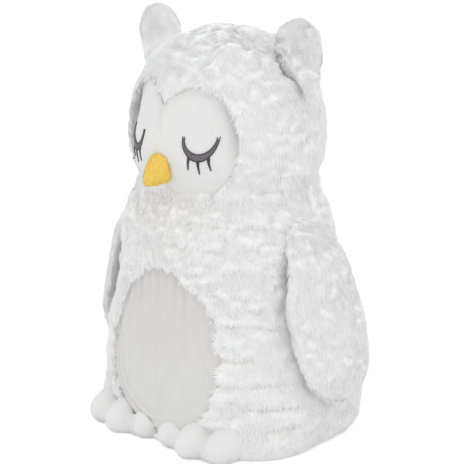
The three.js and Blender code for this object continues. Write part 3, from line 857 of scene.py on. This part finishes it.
head_nodes = ["head_fur_front", "head_fur_back", "head_stuffing"]
head_skin = skin_of("head_fur", head_nodes, FUR_NET, FUR_SMOOTHING)
draw_up_peak(head_skin)
spots = points_of(head_skin)
open_here = 1 - stepped(-2 * MM, 1 * MM, beyond_face(spots))
trim = HEAD_TRIM * stepped(0, 14 * MM, spots[:, 2] - NECK_AT)
height, pile = head_relief(spots)
raise_pile(head_skin, (height - trim) * (1 - open_here) - 1 * MM * open_here, pile)
meeting = (1 - stepped(0, 9 * MM, spots[:, 2] - NECK_AT)) * (1 - open_here)
move_points(head_skin, points_of(head_skin) - np.outer(meeting, [0, 0, HEAD_SUNK]))
move_points(head_skin, over_edge(points_of(head_skin), *FACE_OPENING, HEAD_TUFTS, 19))
dress(head_skin, "owl", white_fur, "white_fur", *head_nodes)
print("head skin:", len(head_skin.data.polygons), "squares")


# %% Locks on the body and the head
FACE_PULL, BELLY_PULL = 0.3, 1.2
BODY_LOCKS = dict(count=38000, length=6 * MM, width=0.45 * MM, lift=0.95 * MM)
HEAD_LOCKS = dict(count=42000, length=5.5 * MM, width=0.42 * MM, lift=0.9 * MM)


def downwards(spots, ways):
    """Down the body, and a little into the opening along an edge."""
    way = always(0.0, 0.0, -1.0)(spots, ways)
    for (beyond, middle), pull in ((FACE_OPENING, FACE_PULL), (BELLY_OPENING, BELLY_PULL)):
        near = 1 - stepped(2 * MM, 12 * MM, beyond(spots))
        way += pull * near[:, None] * inwards(spots, middle)
    return way


def outside_of(low, high, beyond):
    """Faces that look away from a line through the owl's middle, outside an opening."""

    def wanted(spots, ways):
        middle = spots * [0, 0, 1]
        middle[:, 2] = np.clip(middle[:, 2], low, high)
        outer = ((spots - middle) * ways).sum(1) > 0.1 * MM
        under = (spots[:, 2] < 14 * MM) & (beyond_belly(spots) < 12 * MM)
        edge = np.abs(beyond(spots)) < 4 * MM
        return (outer | edge) & (beyond(spots) > -2 * MM) & (spots[:, 2] > 1 * MM) & ~under

    return wanted


def sector(wanted, first, last):
    """Only the faces whose bearing round the owl lies between two shares of a full turn."""

    def narrowed(spots, ways):
        bearing = (np.arctan2(spots[:, 1], spots[:, 0]) / (2 * math.pi)) % 1
        return wanted(spots, ways) * (bearing >= first) * (bearing < last)

    return narrowed


for i in range(4):
    part = sector(outside_of(20 * MM, 160 * MM, beyond_belly), i / 4, (i + 1) / 4)
    locks = sow(f"body_locks_{i + 1}", body_skin, 20 + i, downwards, part, **BODY_LOCKS)
    dress(locks, "owl", white_fur, "white_fur")
for i in range(2):
    part = sector(outside_of(215 * MM, 270 * MM, beyond_face), i / 2, (i + 1) / 2)
    locks = sow(f"head_locks_{i + 1}", head_skin, 30 + i, downwards, part, **HEAD_LOCKS)
    dress(locks, "owl", white_fur, "white_fur")
print("locks sown on the body and the head")

# %% [markdown]
# ## Belly and face
# Both are short smooth plush. The stuffing pushes the belly's patch out in its middle. The seam
# pulls it into folds low down on one side, and faint upright ones hang from its top. The face is a
# firmer dome, drawn in a little under the beak.


# %% Belly
SEAM_ALLOWANCE = 2.5 * MM
FOLD_BEARING = math.radians(145)
FOLD_APART, FOLD_DEEP = 7.5 * MM, 1.5 * MM
HUNG_APART, HUNG_DEEP = 9 * MM, 0.6 * MM

belly = skin_of("belly", ["belly_patch"], 1.8 * MM)
stuff(belly, 3 * MM, lambda points: stepped(0, 14 * MM, -beyond_belly(points)))
points, normals = points_of(belly), normals_of(belly)
inner = -beyond_belly(points)
bearing = np.arctan2(points[:, 2] - BELLY_AT, points[:, 0])
ripple = np.cos((inner + 2.5 * MM * wander(points, 22 * MM, 41)) * 2 * math.pi / FOLD_APART)
pulled = stepped(0.2, 1.2, np.cos(bearing + FOLD_BEARING))
pulled *= 1 - stepped(12 * MM, 26 * MM, inner)
upright = np.cos((points[:, 0] + 3 * MM * wander(points, 30 * MM, 42)) * 2 * math.pi / HUNG_APART)
hung = stepped(0.5, 1, np.sin(bearing)) * (1 - stepped(8 * MM, 26 * MM, inner))
height = FOLD_DEEP * ripple * pulled + HUNG_DEEP * upright * hung
height += 0.8 * MM * wander(points, 25 * MM, 43)
points += normals * height[:, None]
move_points(belly, under_edge(points, *BELLY_OPENING, SEAM_ALLOWANCE))
# A little darker all over, with painted shade towards the top, in the fold valleys and at the rim.
shaded_top = stepped(20 * MM, 110 * MM, points[:, 2])
fold_shade = 0.3 * (0.5 - 0.5 * ripple) * pulled + 0.16 * (0.5 - 0.5 * upright) * hung
keep_value(belly, "seam_and_shade", 0.27 + 0.2 * shaded_top + fold_shade + 0.3 * (1 - stepped(0, 5 * MM, inner)))
dress(belly, "owl", white_plush, "white_plush", "belly_patch")
print("belly:", len(belly.data.polygons), "squares")

# %% Face
beak_low, beak_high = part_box("beak")
BEAK_AT = beak_low[2] * 0.55 + beak_high[2] * 0.45
CREASE_DEEP, BEAK_DIMPLE = 1.6 * MM, 0.8 * MM

face = skin_of("face", ["face_disc"], 1.4 * MM, 6)
draw_up_peak(face)
points, normals = points_of(face), normals_of(face)
below_beak = stepped(0, 4 * MM, BEAK_AT - 8 * MM - points[:, 2])
crease = np.exp(-((points[:, 0] / (3.5 * MM)) ** 2)) * below_beak
at_beak = np.exp(-(np.hypot(points[:, 0], points[:, 2] - BEAK_AT) / (13 * MM)) ** 4)
height = -CREASE_DEEP * crease - BEAK_DIMPLE * at_beak + 0.5 * MM * wander(points, 22 * MM, 51)
points += normals * height[:, None]
move_points(face, under_edge(points, *FACE_OPENING, SEAM_ALLOWANCE))
# Painted shade along the rim under the fur's edge and in the crease below the beak.
keep_value(face, "seam_and_shade", 0.3 * (1 - stepped(0, 5 * MM, -beyond_face(points))) + 0.35 * crease)
dress(face, "owl", white_plush, "white_plush", "face_disc")
print("face:", len(face.data.polygons), "squares")

# %% [markdown]
# ## Embroidered eyes
# Each closed eye is satin stitch: short threads laid side by side across a crescent, with darker
# threads along both of its edges and three lashes below. Most of the fill's grey is painted sheen
# on dark thread. One stitch is modelled once, as a small bar with rounded ends, and each copy is
# bent on to the face.

# %% One stitch
# How far each ring of the bar lies beyond the one before, and how many times as wide it is.
STITCH_RINGS = ((0.1, 2.2), (0.25, 1), (0.3, 1), (0.25, 1), (0.1, 0.45))

bpy.ops.object.select_all(action="DESELECT")
bpy.ops.mesh.primitive_circle_add(vertices=5, radius=0.45, fill_type="NGON", location=(0, 0, 0))
stitch_model = bpy.context.object
bpy.ops.object.mode_set(mode="EDIT")
for rise, widening in STITCH_RINGS:
    bpy.ops.mesh.extrude_region_move(TRANSFORM_OT_translate={"value": (0, 0, rise)})
    bpy.ops.transform.resize(value=(widening, widening, 1))
STITCH_POINTS, STITCH_FACES = taken_down(stitch_model)
print("one stitch:", len(STITCH_POINTS), "points and", len(STITCH_FACES), "triangles")


# %% Laying stitches on the face
IN_FRONT = -0.2  # metres
face_tree = tree_of(face)


def on_face(across, up):
    """The spot on the face behind a point seen from the front."""
    return np.array(face_tree.ray_cast((across, IN_FRONT, up), (0, 1, 0))[0])


def stitched(name, lines, radius, arch):
    """Threads laid on the face. Each line gives the ends of one, seen from the front."""
    across, around, along = (STITCH_POINTS[:, i] for i in range(3))
    levels = np.unique(np.round(along, 4))
    places = []
    for start, end in lines:
        path = np.array([on_face(*(start + (end - start) * share)) for share in levels])
        way = unit(np.gradient(path, axis=0))
        side = unit(np.cross([0, -1, 0], way))
        out = np.cross(way, side)
        path += out * (arch * (4 * levels * (1 - levels)) ** 0.6)[:, None]
        step = np.searchsorted(levels, np.round(along, 4))
        places.append(
            path[step] + radius * (side[step] * across[:, None] + out[step] * around[:, None])
        )
    piece, faces = many(name, np.array(places), STITCH_FACES, True)
    map_copies(piece, len(lines), faces, STITCH_POINTS, along)
    return piece


# %% Crescents and lashes
EYE_MIDDLE, EYE_TIPS = 29.8 * MM, 233 * MM
EYE_HALF, EYE_DROP = 11.2 * MM, 17 * MM
TIP_WIDE, EYE_THICK = 1.4 * MM, 5.5 * MM
LASH_LONG, LASH_ANGLE, LASH_TILT = 9 * MM, 0.57, 0.2
SATIN_THREADS, EDGE_CUTS, LASH_THREADS = 96, 30, 26
SATIN_RADIUS, SATIN_ARCH = 0.3 * MM, 0.9 * MM
EDGE_RADIUS, EDGE_ARCH = 0.34 * MM, 0.55 * MM


def crescent(sign, share, depth):
    """A point of the crescent. share runs from tip to tip and depth from its lower edge up."""
    angle = math.pi * share
    half, drop = EYE_HALF - TIP_WIDE * depth, EYE_DROP - EYE_THICK * depth
    across = EYE_MIDDLE - half * math.cos(angle)
    return np.array([sign * across, EYE_TIPS - drop * math.sin(angle)])


for side, sign in SIDES:
    fill = [
        (crescent(sign, share - 0.012, 0.06), crescent(sign, share + 0.012, 0.94))
        for share in np.linspace(0.02, 0.98, SATIN_THREADS)
    ]
    # The satin fill is dark thread with painted sheen.
    eye = stitched(f"eye_{side}_satin", fill, SATIN_RADIUS, SATIN_ARCH)
    dress(eye, "owl", satin_thread_painted_sheen, "black_thread", f"eye_{side}")
    edges = []
    cuts = np.linspace(0, 1, EDGE_CUTS)
    for depth in (0.02, 0.98):
        for first, last in zip(cuts[:-1], cuts[1:]):
            edges.append((crescent(sign, first - 0.01, depth), crescent(sign, last + 0.02, depth)))
    for angle in (-LASH_ANGLE, 0, LASH_ANGLE):
        root = crescent(sign, 0.5 + angle / math.pi, 0)
        tilt = angle * LASH_TILT
        way = np.array([sign * math.sin(tilt), -math.cos(tilt)])
        across = np.array([-way[1], way[0]])
        for share in np.linspace(-0.15, 1, LASH_THREADS):
            half = (1.1 - 0.75 * max(share, 0)) * MM
            middle = root + way * LASH_LONG * share
            edges.append((middle - across * half - way * 0.3 * MM, middle + across * half))
    rim = stitched(f"eye_{side}_edges", edges, EDGE_RADIUS, EDGE_ARCH)
    dress(rim, "owl", black_thread, "black_thread")
print("eyes stitched")

# %% [markdown]
# ## Beak
# A short cone of yellow plush with a fuzzy nap, stuffed hard and sewn down all round.

# %% Beak
TIP_NARROWED, TIP_MOVED = 0.3, [1 * MM, -2 * MM]
FUZZ = dict(count=5000, length=2.6 * MM, width=0.24 * MM, lift=0.4 * MM, clump=3 * MM, unrest=0.6)

beak = skin_of("beak_skin", ["beak", "beak_stuffing"], 0.9 * MM, 6)
points, normals = points_of(beak), normals_of(beak)
tip = stepped(0, 1, (points[:, 1].max() - points[:, 1]) / np.ptp(points[:, 1]))
points[:, 0] *= 1 - TIP_NARROWED * tip
points[:, 1:] += np.outer(tip, TIP_MOVED)
lumps = cells(points, 5 * MM, 61)
points += normals * (0.7 * MM * (lumps - 0.5) + 0.4 * MM * wander(points, 3 * MM, 62))[:, None]
move_points(beak, points)
# The pile is lower in the hollows between lumps, so the finish paints shade there.
keep_value(beak, "pile", np.clip(0.25 + 0.5 * lumps, 0, 1))
dress(beak, "owl", yellow_plush, "yellow_plush", "beak", "beak_stuffing")
fuzz = sow("beak_fuzz", beak, 63, always(0.0, -1.0, -0.5),
           lambda spots, ways: np.ones(len(spots)), **FUZZ)
dress(fuzz, "owl", yellow_plush, "yellow_plush")
print("beak:", len(beak.data.polygons), "squares")

# %% [markdown]
# ## Ears
# Stuffed domes in shorter fur, a little cupped towards the front. Each foot is spread out where it
# meets the head, and the fur there lies down over the seam.


# %% Ears
EAR_TILT, EAR_FOOT = 0.46, 9 * MM
EAR_SPREAD = (5.5 * MM, 3 * MM, -3.5 * MM)
EAR_CUP, EAR_CUP_BEHIND = 5 * MM, 2.5 * MM
EAR_THINNED, EAR_SHORTENED = [0.04, 0.22, 0.04], 0.04
EAR_LOCKS = dict(count=11000, length=5.5 * MM, width=0.38 * MM, lift=1.1 * MM, clump=7 * MM)
joints = {joint["name"]: joint for joint in frame["record"]["behaviour"]["joints"]}
for side, sign in SIDES:
    root = np.array(joints[f"ear_{side}_flop"]["pos_m"])
    upwards = np.array([sign * math.sin(EAR_TILT), 0, math.cos(EAR_TILT)])
    nodes = [f"ear_{side}_{part}" for part in ("front", "back", "stuffing")]
    ear = skin_of(f"ear_{side}", nodes, 1.6 * MM, 6)
    stuff(ear, 2 * MM)
    points = points_of(ear)
    along = (points - root) @ upwards
    across = (points - root) @ [sign * math.cos(EAR_TILT), 0, -math.sin(EAR_TILT)]
    spread = (1 - stepped(-4 * MM, 20 * MM, along)) * stepped(-6 * MM, 14 * MM, across)
    points += spread[:, None] * (np.array(EAR_SPREAD) * [sign, 1, 1])
    cup = np.exp(-((across / (13 * MM)) ** 2) - (((along - 17 * MM) / (15 * MM)) ** 2))
    points[:, 1] += EAR_CUP * cup * (points[:, 1] < root[1])
    points[:, 1] += EAR_CUP_BEHIND * cup * (points[:, 1] >= root[1])
    trim = stepped(0, 14 * MM, along)[:, None]
    middle = root + np.outer(along, upwards)
    points = middle + (points - middle) * (1 - trim * EAR_THINNED)
    points -= np.outer(EAR_SHORTENED * along * trim[:, 0], upwards)
    move_points(ear, points)
    height, pile = limb_relief(points, normals_of(ear), 1, 70 + sign)
    raise_pile(ear, height, pile)

    def up_the_ear(spots, ways):
        """Up to the tip, and down over the seam at the foot."""
        share = stepped(2 * MM, 16 * MM, (spots - root) @ upwards)
        return np.outer(share, upwards) + np.outer(1 - share, [0, 0, -1])

    locks = sow(f"ear_{side}_locks", ear, 73 + sign, up_the_ear,
                lambda spots, ways: (spots - root) @ upwards > -16 * MM, **EAR_LOCKS)
    for piece in (ear, locks):
        dress_bending(piece)
    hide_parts(*nodes)
print("ears dressed")

# %% [markdown]
# ## Wings
# Long flat pads in the same shorter fur, whose rims are raised in soft clumps. They hang from the
# shoulder seam, where their top is sunk and tucked in towards the body. The locks below the seam
# ride on the wing's own body.

# %% Wings
WING_TOP, WING_BEND = [0, 0, 7 * MM], [0, 0, 15 * MM]
WING_TRIM, WING_SUNK, WING_TUCKED = 0.4, 4, 3.5 * MM
WING_LOCKS = dict(length=5.5 * MM, width=0.42 * MM, lift=1 * MM)

for side, sign in SIDES:
    root = np.array(joints[f"wing_{side}_lift"]["pos_m"])
    nodes = [f"wing_{side}_{part}" for part in ("outer", "inner", "stuffing")]
    wing = skin_of(f"wing_{side}", nodes, 2.2 * MM)

    def outwards(points):
        return stepped(-0.2, 0.5, normals_of(wing)[:, 0] * sign)

    def near_seam(points):
        return stepped(root[2] - 26 * MM, root[2] + 2 * MM, points[:, 2])

    stuff(wing, 3 * MM, outwards)
    points = points_of(wing)
    height, pile = limb_relief(points, normals_of(wing), 0, 80 + sign)
    sunk = near_seam(points)
    trim = (WING_TRIM + WING_SUNK * sunk) * MM * outwards(points)
    raise_pile(wing, height * (1 - 0.6 * sunk) - trim, pile)
    points = points_of(wing)
    points[:, 0] -= sign * WING_TUCKED * near_seam(points)
    move_points(wing, points)
    top, end = root + WING_TOP, root - WING_BEND
    dress_bending(wing)
    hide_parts(*nodes)
    locks = sow(f"wing_{side}_locks", wing, 83 + sign, always(0.0, -0.2, -1.0),
                lambda spots, ways: spots[:, 2] < end[2], count=30000, **WING_LOCKS)
    dress(locks, f"wing_{side}", white_fur, "white_fur")
    locks = sow(f"wing_{side}_root_locks", wing, 86 + sign, always(0.0, -0.2, -1.0),
                lambda spots, ways: spots[:, 2] >= end[2], count=4400, **WING_LOCKS)
    dress_bending(locks)
print("wings dressed")

# %% [markdown]
# ## Feet and base
# Three round toes to a foot, in smooth plush, and the flat panel that closes the owl below. The
# feet are drawn out backwards, so that they run on under the fur.

# %% Feet
GROOVES_AT, GROOVE_DEEP, GROOVE_WIDE = (24.5 * MM, 47.5 * MM), 1.6, 1.8 * MM
FOOT_STRETCH, CLEAR_OF_FLOOR = 1.3, 0.2 * MM

for side in ("left", "right"):
    nodes = [f"foot_{side}_{part}" for part in ("skin", "sole", "stuffing")]
    foot = skin_of(f"foot_{side}", nodes, 1.5 * MM, 6)
    stuff(foot, 1.6 * MM)
    points, normals = points_of(foot), normals_of(foot)
    to_groove = np.min([np.abs(np.abs(points[:, 0]) - at) for at in GROOVES_AT], 0)
    crease = GROOVE_DEEP * np.exp(-((to_groove / GROOVE_WIDE) ** 2))
    points += normals * ((0.4 * wander(points, 9 * MM, 91) - crease) * MM)[:, None]
    toes = points[:, 1].min()
    points[:, 1] = toes + (points[:, 1] - toes) * FOOT_STRETCH
    points[:, 2] = np.maximum(points[:, 2], CLEAR_OF_FLOOR)
    move_points(foot, points)
    # Darker in a thin band 3 mm above the floor, and a little lighter elsewhere.
    keep_value(foot, "seam_and_shade", 0.35 * np.exp(-(((points[:, 2] - 3 * MM) / (1 * MM)) ** 2)) - 0.12)
    dress(foot, "owl", white_plush, "white_plush", *nodes)

# %% Base panel
BASE_HALF_WIDE, BASE_HALF_DEEP = 0.09, 0.081  # metres

base = skin_of("base", ["base_panel"], 2.4 * MM, 4)
points = points_of(base)
points[:, 2] = np.maximum(points[:, 2], CLEAR_OF_FLOOR)
move_points(base, points)
rim = np.hypot(points[:, 0] / BASE_HALF_WIDE, points[:, 1] / BASE_HALF_DEEP)
# Darker round the panel's rim.
keep_value(base, "seam_and_shade", stepped(0.93, 1, rim) * 0.6)
dress(base, "owl", white_plush, "white_plush", "base_panel")
print("feet and base dressed")
